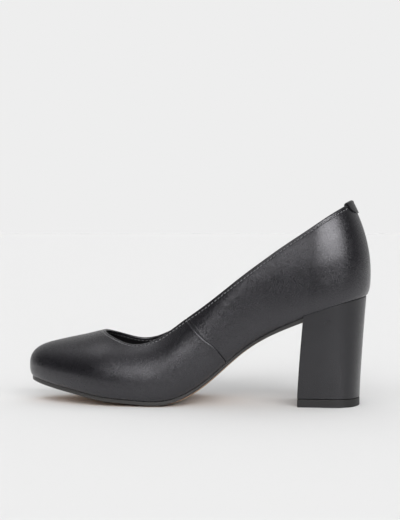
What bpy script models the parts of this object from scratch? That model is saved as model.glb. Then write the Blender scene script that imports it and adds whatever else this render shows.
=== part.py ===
"""Women's block heel pump in black leather, the right shoe, standing on its sole.

The upper is a hollow shell worked out from a table of last sections. Its topline is where that
last meets a line drawn in the side view. The outsole, the insole, the heel and the tab over the
top of the back seam are worked out from the same last, so that each lies against the next.

Lengths in the tables are millimetres. Working x runs from the toe tip back to the heel, y is
positive towards the outer side of the foot, and z is the height above the floor.
"""

import math

import bmesh
import bpy
import numpy as np

MM = 0.001

# Driving dimensions of the shoe.
LENGTH = 235.0  # toe tip to the back of the heel, along the floor
BALL_WIDTH = 83.0  # outside of the upper across the ball
SEAT_HEIGHT = 74.2  # floor to the underside of the upper at the back
INSTEP = 41.0  # underside of the upper to its crest, at the throat
BACK_HEIGHT = 136.2  # floor to the topline at the back
WALL = 1.8  # leather and lining together
GAP = 0.3  # between neighbouring pieces
MARGIN = 3.5  # flat part of the turned-in edge of the upper

# Rounding of the last at its two ends, in plan and in side view.
TOE_ROUND, TOE_POWER = 60.0, 2.2
HEEL_ROUND, HEEL_POWER = 37.0, 2.1
TIP_ROUND, TIP_POWER = 36.0, 2.3
TUCK_POWER = 2.6  # the wall's turn under the foot, square where this is large

# The last, one row for each section. along is a share of LENGTH. inner, outer and crest are shares
# of BALL_WIDTH: the widest line on each side, and the ridge, from the axis of the shoe. under is
# the underside's height as a share of SEAT_HEIGHT. belly and crown are shares of INSTEP: the
# widest line over the underside, and the crest over the widest line. tuck is how far the wall
# turns in under the foot before it lies flat, sole is the outsole's thickness at its edge, and
# round is how far the middle of the outsole bulges below that edge, in millimetres.
SECTION_COLUMNS = "along", "inner", "outer", "crest", "under", "belly", "crown", "tuck", "sole", "round"
SECTIONS = (
    (0.000, 0.335, 0.320, 0.000, 0.234, 0.190, 0.470, 3.7, 2.0, 0.4),
    (0.085, 0.378, 0.362, 0.000, 0.174, 0.220, 0.510, 4.2, 2.0, 0.6),
    (0.170, 0.434, 0.424, -0.005, 0.125, 0.245, 0.644, 4.7, 2.0, 1.0),
    (0.245, 0.470, 0.480, -0.010, 0.080, 0.265, 0.795, 5.0, 2.0, 1.5),
    (0.340, 0.480, 0.517, -0.010, 0.053, 0.285, 0.850, 5.0, 2.0, 1.8),
    (0.425, 0.462, 0.524, -0.010, 0.053, 0.360, 1.020, 5.4, 2.0, 1.8),
    (0.530, 0.410, 0.494, -0.010, 0.214, 0.600, 1.140, 7.4, 1.5, 1.2),
    (0.635, 0.368, 0.440, -0.008, 0.496, 0.860, 1.000, 8.6, 1.4, 0.6),
    (0.740, 0.355, 0.398, -0.005, 0.695, 0.800, 1.230, 7.0, 1.7, 0.3),
    (0.826, 0.359, 0.377, -0.002, 0.811, 0.640, 1.460, 5.8, 2.1, 0.0),
    (0.911, 0.367, 0.369, 0.000, 0.912, 0.500, 1.585, 5.2, 2.1, 0.0),
    (1.000, 0.370, 0.367, 0.000, 1.000, 0.345, 1.700, 5.0, 2.1, 0.0),
)

# The topline in side view: along as a share of LENGTH, height as a share of BACK_HEIGHT.
TOPLINE = (
    (0.232, 0.359),
    (0.260, 0.338),
    (0.288, 0.320),
    (0.317, 0.306),
    (0.340, 0.303),
    (0.362, 0.308),
    (0.384, 0.320),
    (0.413, 0.345),
    (0.460, 0.404),
    (0.520, 0.478),
    (0.580, 0.557),
    (0.640, 0.639),
    (0.700, 0.716),
    (0.760, 0.790),
    (0.820, 0.859),
    (0.880, 0.929),
    (0.947, 1.000),
    (1.000, 1.053),
)
# On the outer side the throat lies further forward, and the line runs lower under the ankle.
THROAT_SKEW, SKEW_START, SKEW_END = 2.6, 85.0, 120.0
ANKLE_DROP = 4.0  # how much lower the topline runs on the outer side, under the ankle
BACK_LEAN = 12.5  # how far the back of the upper leans forward at BACK_HEIGHT
LEAN_REACH = 60.0  # length of the heel part that leans with it

# The outsole and the insole.
LIP = 1.8  # how far the outsole reaches out past the flat part of the upper's underside
SOLE_BEVEL = 0.5  # broken lower edge of the outsole
SOLE_MIDDLE = 0.55  # share of its half width over which the bulge of the outsole rises
INSOLE_RIM = 1.2  # thickness of the insole over the turned-in edge of the upper
RIM_INSET, RIM_FLARE = 1.3, 1.2  # where the rim starts inside the flat part, and how far it flares
STEP_CLEARANCE = 1.1  # from the free edge of the upper to the step that fills its opening

# The heel, with its breast facing forward. It carries the outline of the upper's seat down to a
# smaller D on the top piece.
BREAST_TOP, BREAST_BASE = 191.0, 186.9  # working x of the breast under the seat and at the base
HEEL_INSET = 2.8  # how far the heel stays inside the widest line of the upper
BASE_BACK, BASE_HALF = 227.8, 23.4  # back of the base, and half its width
BASE_ROUND, BASE_POWER = 19.0, 2.3  # rounding of the back of the base
HEEL_SWEEP = 1.25  # above 1 the heel spreads mostly near its top
HEEL_EDGE = 0.7  # softened edges of the heel
TOP_PIECE = 5.4  # height of the walking piece under the heel

# The tab folded over the topline at the back: thickness, half width, and depth on either face.
TAB, TAB_HALF, TAB_DEPTH, TAB_INSIDE = 0.8, 12.0, 8.5, 5.0
TAB_CORNER = 1.5  # depth of the tab at its front corners
TAB_FOLD = 1.4  # height of the fold over the topline, as a multiple of its clearance

# How finely the pieces are divided.
VAMP_COLUMNS, QUARTER_COLUMNS = 16, 24
TUCK_ROWS, WALL_ROWS = 5, 9
SIDE_START = 92.0  # where the columns stop running forward to the throat and stand upright
SOLE_STATIONS, INSOLE_STATIONS, HEEL_STATIONS, HEEL_LEVELS = 42, 40, 12, 8
TAB_COLUMNS, TAB_ROWS = 14, 4


class Spline:
    """A smooth curve through the rows of a table, natural at both ends."""

    def __init__(self, xs, ys):
        self.x, self.y = np.asarray(xs, float), np.asarray(ys, float)
        step, slope = np.diff(self.x), np.diff(self.y) / np.diff(self.x)
        system, right = np.eye(len(self.x)), np.zeros(len(self.x))
        for i in range(1, len(self.x) - 1):
            system[i, i - 1 : i + 2] = step[i - 1], 2 * (step[i - 1] + step[i]), step[i]
            right[i] = 6 * (slope[i] - slope[i - 1])
        self.bend = np.linalg.solve(system, right)

    def __call__(self, x):
        x = np.clip(x, self.x[0], self.x[-1])
        i = np.clip(np.searchsorted(self.x, x) - 1, 0, len(self.x) - 2)
        h = self.x[i + 1] - self.x[i]
        a, b = (self.x[i + 1] - x) / h, (x - self.x[i]) / h
        curved = (a**3 - a) * self.bend[i] + (b**3 - b) * self.bend[i + 1]
        return a * self.y[i] + b * self.y[i + 1] + curved * h * h / 6


def column_of(name, unit):
    """The spline of one column of SECTIONS, in millimetres over working x."""
    i = SECTION_COLUMNS.index(name)
    return Spline([row[0] * LENGTH for row in SECTIONS], [row[i] * unit for row in SECTIONS])


INNER, OUTER, CREST = (column_of(name, BALL_WIDTH) for name in ("inner", "outer", "crest"))
UNDER = column_of("under", SEAT_HEIGHT)
BELLY, CROWN = (column_of(name, INSTEP) for name in ("belly", "crown"))
TUCK, SOLE, ROUND = (column_of(name, 1.0) for name in ("tuck", "sole", "round"))
SIDE_LINE = Spline([a * LENGTH for a, _ in TOPLINE], [h * BACK_HEIGHT for _, h in TOPLINE])
MEDIAL, LATERAL = -1.0, 1.0


def rounded(distance, reach, power):
    """0 at the end of the last, rising to 1 at reach from it along a superellipse."""
    t = np.clip(1 - distance / reach, 0, 1)
    return (1 - t**power) ** (1 / power)


def outline_y(side, x):
    """The widest line of the upper in plan."""
    ends = rounded(x, TOE_ROUND, TOE_POWER) * rounded(LENGTH - x, HEEL_ROUND, HEEL_POWER)
    return side * (INNER(x) if side == MEDIAL else OUTER(x)) * ends


def widest_z(x):
    return UNDER(x) + BELLY(x)


def lean(x, z):
    """How far a point of the heel part is moved forward by the lean of the back."""
    share = np.clip((x - (LENGTH - LEAN_REACH)) / LEAN_REACH, 0, 1)
    reach = np.clip((z - widest_z(LENGTH)) / (BACK_HEIGHT - widest_z(LENGTH)), 0, None)
    return BACK_LEAN * reach**2 * share * share * (3 - 2 * share)


def last_point(side, x, angle):
    """The last above its widest line, where angle is 0. At a right angle it is on the crest."""
    ridge = CREST(x) * rounded(x, TOE_ROUND, TOE_POWER)
    y = ridge + (outline_y(side, x) - ridge) * np.cos(angle)
    z = widest_z(x) + CROWN(x) * rounded(x, TIP_ROUND, TIP_POWER) * np.sin(angle)
    return np.stack([x - lean(x, z), y + 0 * z, z], axis=-1)


def eased(value, start, end):
    """0 up to start and 1 from end, with a smooth rise between them."""
    t = min(max((value - start) / (end - start), 0.0), 1.0)
    return t * t * (3 - 2 * t)


def above_topline(point):
    """Whether a point of the last lies above the topline."""
    x, y, z = point
    outer = eased(y, -20.0, 20.0)
    ankle = math.sin(math.pi * min(max((x - SIDE_START) / (LENGTH - BACK_LEAN - SIDE_START), 0), 1)) ** 2
    forward = THROAT_SKEW * outer * (1 - eased(x, SKEW_START, SKEW_END))
    return z > SIDE_LINE(x + forward) - ANKLE_DROP * outer * ankle


def throat_x():
    """Working x of the front of the opening, where the ridge rises to the topline."""
    low, high = 0.15 * LENGTH, 0.35 * LENGTH
    for _ in range(40):
        middle = (low + high) / 2
        if above_topline(last_point(MEDIAL, middle, math.pi / 2)):
            high = middle
        else:
            low = middle
    return (low + high) / 2


THROAT = throat_x()


def topline_angle(side, x):
    """The angle at which the topline crosses the section at x, found by halving."""
    low, high = 0.0, math.pi / 2
    for _ in range(30):
        middle = (low + high) / 2
        if above_topline(last_point(side, x, middle)):
            high = middle
        else:
            low = middle
    return (low + high) / 2


def lengths_along(points):
    """How far each point of a polyline lies from its start, along it."""
    return np.concatenate([[0], np.cumsum(np.linalg.norm(np.diff(points, axis=0), axis=1))])


def resampled(points, count):
    """count + 1 points evenly spaced along a polyline."""
    reach = lengths_along(points)
    wanted = np.linspace(0, reach[-1], count + 1)
    return np.stack([np.interp(wanted, reach, values) for values in points.T], axis=1)


def column_feet(side, vamp, quarter):
    """Working x of each column's foot on the widest line, evenly spaced along that line."""
    dense = LENGTH * (1 - np.cos(np.linspace(0, math.pi, 400))) / 2
    line = np.stack([dense, outline_y(side, dense)], axis=1)
    split = np.searchsorted(dense, SIDE_START)
    corner = [[SIDE_START, float(outline_y(side, SIDE_START))]]
    front = resampled(np.vstack([line[:split], corner]), vamp)
    back = resampled(np.vstack([corner, line[split:]]), quarter)
    return np.concatenate([front[:, 0], back[1:, 0]])


def throat_tops(side, vamp):
    """(working x, angle) of the tops of the vamp's columns, evenly spaced round the throat."""
    xs = THROAT + (SIDE_START - THROAT) * np.linspace(0, 1, 120) ** 2
    angles = np.array([math.pi / 2] + [topline_angle(side, x) for x in xs[1:]])
    places = np.stack([last_point(side, x, a) for x, a in zip(xs, angles)])
    reach = lengths_along(places)
    wanted = np.linspace(0, reach[-1], vamp + 1)
    return np.stack([np.interp(wanted, reach, xs), np.interp(wanted, reach, angles)], axis=1)


def wall_path(side, foot_x, top_x, top_angle, rows):
    """The wall of one column, from the widest line up to the topline, in even steps."""
    steps = np.linspace(0, 1, 160) ** 1.5
    x = foot_x + (top_x - foot_x) * steps
    if top_x == foot_x:
        return resampled(last_point(side, x, top_angle * steps), rows)
    foot_y, top_y = outline_y(side, foot_x), last_point(side, top_x, top_angle)[1]
    y = foot_y + (top_y - foot_y) * steps
    ridge = CREST(x) * rounded(x, TOE_ROUND, TOE_POWER)
    reach = outline_y(side, x) - ridge
    across = np.divide(y - ridge, reach, out=np.ones_like(x), where=reach != 0)
    angle = np.arccos(np.clip(across, 0, 1))
    angle[0] = 0
    return resampled(last_point(side, x, angle), rows)


def inward(side, x):
    """The unit normal of the widest line in plan, pointing into the shoe."""
    if x <= 0 or x >= LENGTH:
        return np.array([1.0 if x <= 0 else -1.0, 0.0])
    low, high = max(x - 0.02, 0), min(x + 0.02, LENGTH)
    run, rise = high - low, outline_y(side, high) - outline_y(side, low)
    return np.array([rise, -run]) / math.hypot(run, rise) * side


def foot_at(side, x, inset):
    """The foot on the widest line whose point at this inset lies at working x."""
    foot_x = x
    for _ in range(6):
        foot_x = x - inset * inward(side, foot_x)[0]
    return foot_x


def off_level(x, distance):
    """The height that lies this distance square off the underside, where that slopes."""
    slope = UNDER(x + 0.5) - UNDER(x - 0.5)
    return distance * math.sqrt(1 + slope * slope)


def bed(side, foot_x, inset, rise=0.0):
    """A point of the flat underside, this far inside the widest line and raised by rise."""
    normal = inward(side, foot_x)
    x, y = foot_x + inset * normal[0], outline_y(side, foot_x) + inset * normal[1]
    return np.array([x, y, UNDER(x) + off_level(x, rise)], float)


def underside(side, foot_x, inset, rise=0.0):
    """The same, with the wall's turn up to the widest line where inset is less than its tuck."""
    point, tuck = bed(side, foot_x, inset, rise), TUCK(foot_x)
    if inset < tuck:
        level = bed(side, foot_x, tuck)[2]
        turned = (1 - (1 - inset / tuck) ** TUCK_POWER) ** (1 / TUCK_POWER)
        point[2] += widest_z(foot_x) - (widest_z(foot_x) - level) * turned - UNDER(point[0])
    return point


def tuck_path(side, foot_x, rows):
    """The turned-in edge of one column, from its free edge under the foot to the widest line."""
    turns = np.linspace(math.pi / 2, 0, rows + 1)
    insets = [TUCK(foot_x) + MARGIN] + [TUCK(foot_x) * (1 - math.cos(turn)) for turn in turns]
    return np.array([underside(side, foot_x, inset) for inset in insets])


def upper_columns(vamp=VAMP_COLUMNS, quarter=QUARTER_COLUMNS, tuck_rows=TUCK_ROWS, wall_rows=WALL_ROWS):
    """Every column of the upper's outside, once round from the toe by the inner side."""
    sides = []
    for side in (MEDIAL, LATERAL):
        feet = column_feet(side, vamp, quarter)
        tops = throat_tops(side, vamp)
        columns = []
        for i, foot_x in enumerate(feet):
            top_x, top_angle = tops[i] if i < vamp else (foot_x, topline_angle(side, foot_x))
            wall = wall_path(side, foot_x, top_x, top_angle, wall_rows)
            columns.append(np.vstack([tuck_path(side, foot_x, tuck_rows)[:-1], wall]))
        sides.append(columns)
    inner, outer = sides
    return np.array(inner + outer[-2:0:-1])


def outsole_slices():
    """Sections of the outsole square to its edge, from the toe to the breast of the heel."""
    end_x = BREAST_TOP - GAP
    run = np.linspace(0, 1, SOLE_STATIONS)
    slices = []
    for station in end_x * (0.4 * run + 0.6 * run**2):

        def at(side, inset, rise=0.0, station=station):
            foot_x = foot_at(side, end_x, inset) if station == end_x else station
            return underside(side, foot_x, inset, rise)

        section = []
        for side in (MEDIAL, LATERAL):
            tuck = TUCK(station)
            reach = tuck - LIP
            middle = at(side, max(SOLE_MIDDLE * abs(outline_y(side, station)), tuck + SOLE_BEVEL))
            depth = off_level(middle[0], GAP + SOLE(station)) + ROUND(station)
            middle[2] = max(UNDER(middle[0]) - depth, 0.0)
            bottom, corner = at(side, reach + SOLE_BEVEL), at(side, reach)
            bottom[2] = max(at(side, tuck, -GAP - SOLE(station))[2], 0.0)
            corner[2] = bottom[2] + SOLE_BEVEL
            half = [middle, bottom, corner, at(side, reach, -GAP), at(side, tuck, -GAP)]
            section += half if side == MEDIAL else half[::-1]
        slices.append(section)
    return slices


def insole_slices():
    """Sections of the insole, stepped to fill the opening and to lie over its turned-in edge."""
    slices = []
    for foot_x in LENGTH * (1 - np.cos(np.linspace(0, math.pi, INSOLE_STATIONS))) / 2:
        tuck, opening = TUCK(foot_x), TUCK(foot_x) + MARGIN + STEP_CLEARANCE
        section = []
        for side in (MEDIAL, LATERAL):
            half = [
                bed(side, foot_x, opening),
                bed(side, foot_x, opening, WALL + GAP),
                bed(side, foot_x, tuck + RIM_INSET, WALL + GAP),
                bed(side, foot_x, tuck + RIM_INSET - RIM_FLARE, WALL + GAP + INSOLE_RIM),
            ]
            section += half if side == MEDIAL else half[::-1]
        slices.append(section)
    return slices


def heel_base_line(side):
    """One side of the D of the heel's base, from the breast to the back."""
    run = np.sin(np.linspace(0, math.pi / 2, 200))
    x = BREAST_BASE + (BASE_BACK - BREAST_BASE) * run
    y = side * BASE_HALF * rounded(BASE_BACK - x, BASE_ROUND, BASE_POWER)
    return resampled(np.stack([x, y], axis=1), HEEL_STATIONS)


def heel_rings():
    """Rings of the heel from the top piece up to the wall's turn, then the two halves of its seat."""
    low, outer, turned, inner = [], [], [], []
    for side in (MEDIAL, LATERAL):
        dense = LENGTH - (LENGTH - BREAST_TOP) * np.linspace(1, 0, 200) ** 2
        dense[0] = foot_at(side, BREAST_TOP, HEEL_INSET)
        line = np.stack([dense, outline_y(side, dense)], axis=1)
        feet = resampled(line, HEEL_STATIONS)[:, 0]
        rim = [underside(side, foot_x, HEEL_INSET, -GAP) for foot_x in feet]
        turn = [underside(side, foot_x, (HEEL_INSET + TUCK(foot_x)) / 2, -GAP) for foot_x in feet]
        seat = [bed(side, foot_x, TUCK(foot_x), -GAP) for foot_x in feet]
        front = foot_at(side, BREAST_TOP, TUCK(BREAST_TOP))
        seat[0] = bed(side, front, TUCK(BREAST_TOP), -GAP)
        base = list(heel_base_line(side))
        front_of_base = np.array([BREAST_BASE, side * (BASE_HALF - TUCK(BREAST_TOP) + HEEL_INSET)])
        low.append([front_of_base] + base)
        outer.append([seat[0]] + rim)
        turned.append([seat[0]] + turn)
        inner.append(seat)
    plan = np.array(low[0] + low[1][-2::-1])
    top = np.array(outer[0] + outer[1][-2::-1])
    rings = []
    for share in np.linspace(0, 1, HEEL_LEVELS + 1):
        x_y = plan + (top[:, :2] - plan) * share**HEEL_SWEEP
        base_z = TOP_PIECE + GAP
        rings.append(np.column_stack([x_y, base_z + (top[:, 2] - base_z) * share]))
    rings.append(np.array(turned[0] + turned[1][-2::-1]))
    return rings, inner


def tab_feet():
    """Foot on the widest line against the distance round the topline from the back centre."""
    tables = {}
    for side in (MEDIAL, LATERAL):
        feet = LENGTH - TAB_HALF * np.linspace(0, 1, 80) ** 2
        places = np.array([last_point(side, x, topline_angle(side, x)) for x in feet])
        tables[side] = lengths_along(places), feet
    return tables


def tab_sections():
    """Sections of the folded tab, from its inner side round the back to its outer side."""
    tables = tab_feet()

    def surface(around, angle):
        side = LATERAL if around > 0 else MEDIAL
        foot_x = np.interp(abs(around), *tables[side])
        return last_point(side, foot_x, angle)

    def frame(around, angle):
        """Point, outward normal and upward direction of the upper's outside."""
        across = surface(around + 0.4, angle) - surface(around - 0.4, angle)
        rising = surface(around, angle + 0.01) - surface(around, angle - 0.01)
        normal = np.cross(across, rising)
        return surface(around, angle), normal / np.linalg.norm(normal), rising / np.linalg.norm(rising)

    sections = []
    for around in np.linspace(-TAB_HALF, TAB_HALF, TAB_COLUMNS + 1):
        side = LATERAL if around > 0 else MEDIAL
        foot_x = np.interp(abs(around), *tables[side])
        top_angle = topline_angle(side, foot_x)
        angles = np.linspace(top_angle, top_angle - 0.5, 60)
        below = lengths_along(np.array([surface(around, angle) for angle in angles]))
        width = math.sqrt(1 - (around / TAB_HALF) ** 2)

        def leg(depth, offset, below=below, angles=angles, around=around):
            """Points down one face of the wall, from just under the topline."""
            points = []
            for down in np.linspace(0, 1, TAB_ROWS + 1)[1:] * depth:
                point, normal, _ = frame(around, np.interp(down, below, angles))
                points.append(point + offset * normal)
            return points

        def fold(clearance, around=around, top_angle=top_angle):
            """Points over the topline, from the outside of the wall to its inside."""
            point, normal, rising = frame(around, top_angle)
            centre, reach = point - WALL / 2 * normal, WALL / 2 + clearance
            turns = np.linspace(0, math.pi, 5)
            over = TAB_FOLD * clearance
            return [centre + reach * math.cos(t) * normal + over * math.sin(t) * rising for t in turns]

        outside = TAB_CORNER + (TAB_DEPTH - TAB_CORNER) * width
        inside = TAB_CORNER + (TAB_INSIDE - TAB_CORNER) * width
        skin = leg(outside, GAP + TAB)[::-1] + fold(GAP + TAB) + leg(inside, -WALL - GAP - TAB)
        hollow = leg(outside, GAP)[::-1] + fold(GAP) + leg(inside, -WALL - GAP)
        sections.append(skin + hollow[::-1])
    return sections


def loft_faces(count, size, closed=True):
    """Quads between count rings of size points each."""
    wrap = size if closed else size - 1
    return [
        (i * size + j, i * size + (j + 1) % size, (i + 1) * size + (j + 1) % size, (i + 1) * size + j)
        for i in range(count - 1)
        for j in range(wrap)
    ]


def leather(name, colour, roughness, coat=0.0):
    """A plain surface material in the look of one piece."""
    material = bpy.data.materials.new(name)
    material.use_nodes = True
    shader = material.node_tree.nodes["Principled BSDF"]
    shader.inputs["Base Color"].default_value = (*colour, 1.0)
    shader.inputs["Roughness"].default_value = roughness
    shader.inputs["Coat Weight"].default_value = coat
    material.diffuse_color = (*colour, 1.0)
    return material


def add_piece(collection, name, points, faces, material, solid=True):
    """One object from points in millimetres, its coincident points merged."""
    points = np.array(points).reshape(-1, 3) * MM
    faces = [face for face in faces if len(set(face)) == len(face)]
    shape = bmesh.new()
    corners = [shape.verts.new(point) for point in points]
    for face in faces:
        shape.faces.new([corners[i] for i in face])
    bmesh.ops.remove_doubles(shape, verts=shape.verts, dist=0.00001)
    if solid:
        bmesh.ops.recalc_face_normals(shape, faces=shape.faces)
    mesh = bpy.data.meshes.new(name)
    shape.to_mesh(mesh)
    shape.free()
    mesh.shade_smooth()
    mesh.set_sharp_from_angle(angle=math.radians(40))
    mesh.materials.append(material)
    piece = bpy.data.objects.new(name, mesh)
    piece.location = PLACE
    collection.objects.link(piece)
    return piece


for leftover in list(bpy.data.objects):
    bpy.data.objects.remove(leftover, do_unlink=True)

sides_y = [outline_y(side, np.linspace(0, LENGTH, 500)) for side in (MEDIAL, LATERAL)]
PLACE = (-LENGTH / 2 * MM, -(sides_y[0].min() + sides_y[1].max()) / 2 * MM, 0.0)

pump = bpy.data.collections.new("block_heel_pump")
bpy.context.scene.collection.children.link(pump)

upper_leather = leather("upper_leather", (0.022, 0.022, 0.024), 0.42, 0.15)
tab_leather = leather("tab_leather", (0.016, 0.016, 0.017), 0.45, 0.1)
sock_leather = leather("sock_leather", (0.030, 0.029, 0.029), 0.6)
sole_leather = leather("sole_leather", (0.380, 0.205, 0.095), 0.55)
heel_cover = leather("heel_cover", (0.026, 0.026, 0.028), 0.5, 0.1)
top_piece_rubber = leather("top_piece_rubber", (0.018, 0.018, 0.018), 0.6)

# The upper: its outside surface once round, given its thickness towards the foot.
wall = upper_columns()
column_count, row_count = wall.shape[:2]
wall_faces = [
    (i * row_count + j, after * row_count + j, after * row_count + j + 1, i * row_count + j + 1)
    for i, after in zip(range(column_count), list(range(1, column_count)) + [0])
    for j in range(row_count - 1)
]
upper = add_piece(pump, "upper", wall, wall_faces, upper_leather, solid=False)
thickness = upper.modifiers.new("wall", "SOLIDIFY")
thickness.thickness = WALL * MM
thickness.offset = -1.0
thickness.use_even_offset = True
thickness.use_quality_normals = True

# The outsole and the insole, lofted through their sections.
sole = outsole_slices()
sole_size = len(sole[0])
end_cap = [tuple(range((len(sole) - 1) * sole_size, len(sole) * sole_size))]
add_piece(pump, "outsole", sole, loft_faces(len(sole), sole_size) + end_cap, sole_leather)
board = insole_slices()
add_piece(pump, "insole", board, loft_faces(len(board), len(board[0])), sock_leather)

# The heel, lofted from its base up to the seat, with the seat closed by strips across it.
rings, seat = heel_rings()
size = len(rings[0])
points = np.vstack(rings + [np.array(seat[0]), np.array(seat[1])])
first_rim, first_seat = (len(rings) - 1) * size, len(rings) * size
heel_faces = loft_faces(len(rings), size) + [tuple(range(size))]
across = HEEL_STATIONS + 1
for j in range(HEEL_STATIONS):
    near = [first_seat + j, first_seat + j + 1]
    far = [near[0] + across, near[1] + across]
    near_rim = [first_rim + 1 + j, first_rim + 2 + j]
    far_rim = [first_seat - 2 - j, first_seat - 3 - j]
    heel_faces += [(*near, *near_rim[::-1]), (*far, *far_rim[::-1]), (*near, *far[::-1])]
heel = add_piece(pump, "heel", points, heel_faces, heel_cover)
softened = heel.modifiers.new("softened edges", "BEVEL")
softened.width = HEEL_EDGE * MM
softened.segments = 2
softened.limit_method = "ANGLE"
softened.angle_limit = math.radians(50)

# The top piece: the D of the heel's base, as a filled flat outline with thickness.
medial_line, lateral_line = heel_base_line(MEDIAL), heel_base_line(LATERAL)
base_outline = np.vstack([medial_line, lateral_line[-2::-1]]) * MM
outline = bpy.data.curves.new("top_piece", "CURVE")
outline.dimensions = "2D"
outline.fill_mode = "BOTH"
outline.extrude = TOP_PIECE / 2 * MM
strip = outline.splines.new("POLY")
strip.points.add(len(base_outline) - 1)
for point, (x, y) in zip(strip.points, base_outline):
    point.co = (x, y, 0.0, 1.0)
strip.use_cyclic_u = True
outline.materials.append(top_piece_rubber)
top_piece = bpy.data.objects.new("top_piece", outline)
top_piece.location = (PLACE[0], PLACE[1], TOP_PIECE / 2 * MM)
pump.objects.link(top_piece)

# The tab over the top of the back seam.
tab = tab_sections()
tab_size = len(tab[0])
tab_ends = [tuple(range(tab_size)), tuple(range((len(tab) - 1) * tab_size, len(tab) * tab_size))]
add_piece(pump, "heel_tab", tab, loft_faces(len(tab), tab_size) + tab_ends, tab_leather)
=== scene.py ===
# %% [markdown]
# # A block heel pump in black leather
#
# The CAD part is a right shoe of six solids. This notebook dresses it: three panels of leather
# closed by seams, a lining, a sock, a folded tab, a sole with a painted edge, a covered heel and
# a rubber top piece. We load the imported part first, because every piece is fitted to it.

# %% Load the frame
import math

import bmesh
import bpy
import numpy as np
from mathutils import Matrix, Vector


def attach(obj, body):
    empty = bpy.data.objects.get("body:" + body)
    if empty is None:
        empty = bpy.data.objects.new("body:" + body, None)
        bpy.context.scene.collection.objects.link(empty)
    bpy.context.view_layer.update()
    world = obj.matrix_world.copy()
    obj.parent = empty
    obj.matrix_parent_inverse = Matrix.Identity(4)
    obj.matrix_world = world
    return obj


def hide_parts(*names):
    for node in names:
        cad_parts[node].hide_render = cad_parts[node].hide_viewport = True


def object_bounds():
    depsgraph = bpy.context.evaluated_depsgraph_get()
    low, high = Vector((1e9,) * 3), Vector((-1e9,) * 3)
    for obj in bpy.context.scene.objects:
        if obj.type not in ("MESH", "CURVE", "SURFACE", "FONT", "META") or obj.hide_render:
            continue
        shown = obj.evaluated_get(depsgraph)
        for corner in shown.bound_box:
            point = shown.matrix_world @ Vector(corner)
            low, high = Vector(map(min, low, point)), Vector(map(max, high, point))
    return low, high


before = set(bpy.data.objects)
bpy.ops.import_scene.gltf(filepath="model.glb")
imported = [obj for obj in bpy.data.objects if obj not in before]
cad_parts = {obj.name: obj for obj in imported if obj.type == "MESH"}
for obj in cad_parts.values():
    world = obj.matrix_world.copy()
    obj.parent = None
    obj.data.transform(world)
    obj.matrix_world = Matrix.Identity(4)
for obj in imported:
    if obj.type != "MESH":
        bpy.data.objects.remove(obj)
cad_low, cad_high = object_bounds()
print("CAD nodes:", ", ".join(sorted(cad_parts)))

# %% [markdown]
# ## The last
#
# A shoe is built round a last, a solid foot shape. The CAD part describes its last by a table of
# cross sections and smooth curves through the rows. We repeat that table here, so that the leather
# lies on the solid's own surface and not on its flat facets. Lengths are in millimetres: x runs
# back from the toe tip, y is positive on the outer side of the foot, and z is up from the floor.

# %% Sizes of the shoe
MM = 0.001
LENGTH = (cad_high.x - cad_low.x) / MM
BALL_WIDTH, SEAT_HEIGHT, INSTEP, BACK_HEIGHT = 83.0, 74.2, 41.0, 136.2
WALL = 1.8  # leather and lining together
MARGIN = 3.5  # the turned-in edge of the upper
MARGIN_SHARE = 0.6  # how much of it the leather and the lining have here
TOE_ROUND, TOE_POWER = 60.0, 2.2
HEEL_ROUND, HEEL_POWER = 37.0, 2.1
TIP_ROUND, TIP_POWER = 36.0, 2.3
TUCK_POWER = 2.6  # the wall's turn under the foot, square where this is large
THROAT_SKEW, SKEW_START, SKEW_END = 2.6, 85.0, 120.0
ANKLE_DROP, BACK_LEAN, LEAN_REACH = 4.0, 12.5, 60.0
SIDE_START = 92.0  # behind this the columns of the wall stand upright
MEDIAL, LATERAL = -1.0, 1.0
print("The shoe is %.1f mm long" % LENGTH)

# %% Sections of the last
# along is a share of the length. inner, outer and crest are shares of the ball width, under is a
# share of the seat height, belly and crown are shares of the instep, and the rest is millimetres.
SECTION_COLUMNS = "along", "inner", "outer", "crest", "under", "belly", "crown", "tuck", "sole", "round"
SECTIONS = (
    (0.000, 0.335, 0.320, 0.000, 0.234, 0.190, 0.470, 3.7, 2.0, 0.4),
    (0.085, 0.378, 0.362, 0.000, 0.174, 0.220, 0.510, 4.2, 2.0, 0.6),
    (0.170, 0.434, 0.424, -0.005, 0.125, 0.245, 0.644, 4.7, 2.0, 1.0),
    (0.245, 0.470, 0.480, -0.010, 0.080, 0.265, 0.795, 5.0, 2.0, 1.5),
    (0.340, 0.480, 0.517, -0.010, 0.053, 0.285, 0.850, 5.0, 2.0, 1.8),
    (0.425, 0.462, 0.524, -0.010, 0.053, 0.360, 1.020, 5.4, 2.0, 1.8),
    (0.530, 0.410, 0.494, -0.010, 0.214, 0.600, 1.140, 7.4, 1.5, 1.2),
    (0.635, 0.368, 0.440, -0.008, 0.496, 0.860, 1.000, 8.6, 1.4, 0.6),
    (0.740, 0.355, 0.398, -0.005, 0.695, 0.800, 1.230, 7.0, 1.7, 0.3),
    (0.826, 0.359, 0.377, -0.002, 0.811, 0.640, 1.460, 5.8, 2.1, 0.0),
    (0.911, 0.367, 0.369, 0.000, 0.912, 0.500, 1.585, 5.2, 2.1, 0.0),
    (1.000, 0.370, 0.367, 0.000, 1.000, 0.345, 1.700, 5.0, 2.1, 0.0),
)
# The topline seen from the side: share of the length, share of the back height.
TOPLINE = (
    (0.232, 0.359), (0.260, 0.338), (0.288, 0.320), (0.317, 0.306), (0.340, 0.303), (0.362, 0.308),
    (0.384, 0.320), (0.413, 0.345), (0.460, 0.404), (0.520, 0.478), (0.580, 0.557), (0.640, 0.639),
    (0.700, 0.716), (0.760, 0.790), (0.820, 0.859), (0.880, 0.929), (0.947, 1.000), (1.000, 1.053),
)
print(len(SECTIONS), "sections and", len(TOPLINE), "points of the topline")


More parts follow.
